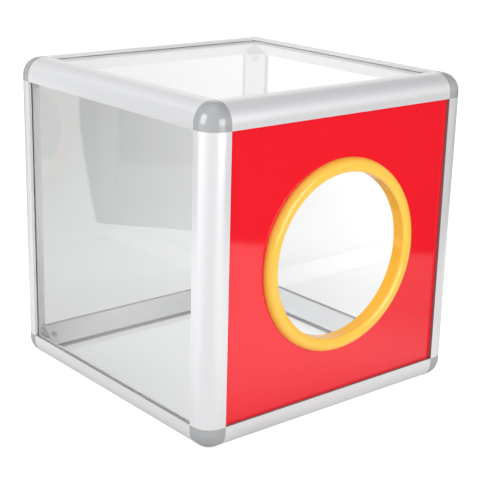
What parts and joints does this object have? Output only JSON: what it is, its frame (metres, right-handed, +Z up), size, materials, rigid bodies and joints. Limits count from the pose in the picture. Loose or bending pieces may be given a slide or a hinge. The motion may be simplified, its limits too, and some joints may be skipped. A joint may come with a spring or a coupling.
{
  "type": "raffle box",
  "caption": "See-through cube box for raffle tickets, with an aluminium edge frame, rounded plastic corners and a yellow-ringed hand hole in its red front.",
  "frame": {"origin": "on the surface that the box stands on, under the middle of its square footprint", "axes": "+X to the box's right seen from the front, -Y out of the red front with the hand hole, +Z up"},
  "size_m": [0.3, 0.304, 0.3],
  "materials": {
    "anodised_aluminium": "matte silver anodised extrusion",
    "grey_plastic": "semi-gloss moulded plastic",
    "clear_acrylic": "clear polished acrylic sheet",
    "red_acrylic": "opaque red gloss acrylic sheet",
    "yellow_plastic": "gloss moulded plastic",
    "screw_steel": "zinc-plated steel"
  },
  "bodies": {
    "root": {"back_bottom_rail": "anodised_aluminium", "back_left_bottom_corner": "grey_plastic", "back_left_post": "anodised_aluminium", "back_left_top_corner": "grey_plastic", "back_panel": "clear_acrylic", "back_right_bottom_corner": "grey_plastic", "back_right_post": "anodised_aluminium", "back_right_top_corner": "grey_plastic", "back_top_rail": "anodised_aluminium", "bottom_panel": "clear_acrylic", "corner_screws": "screw_steel", "front_bottom_rail": "anodised_aluminium", "front_left_bottom_corner": "grey_plastic", "front_left_post": "anodised_aluminium", "front_left_top_corner": "grey_plastic", "front_panel": "red_acrylic", "front_right_bottom_corner": "grey_plastic", "front_right_post": "anodised_aluminium", "front_right_top_corner": "grey_plastic", "front_top_rail": "anodised_aluminium", "hand_hole_rear_ring": "yellow_plastic", "hand_hole_ring": "yellow_plastic", "left_bottom_rail": "anodised_aluminium", "left_panel": "clear_acrylic", "left_top_rail": "anodised_aluminium", "right_bottom_rail": "anodised_aluminium", "right_panel": "clear_acrylic", "right_top_rail": "anodised_aluminium", "top_panel": "clear_acrylic"}
  },
  "joints": []
}
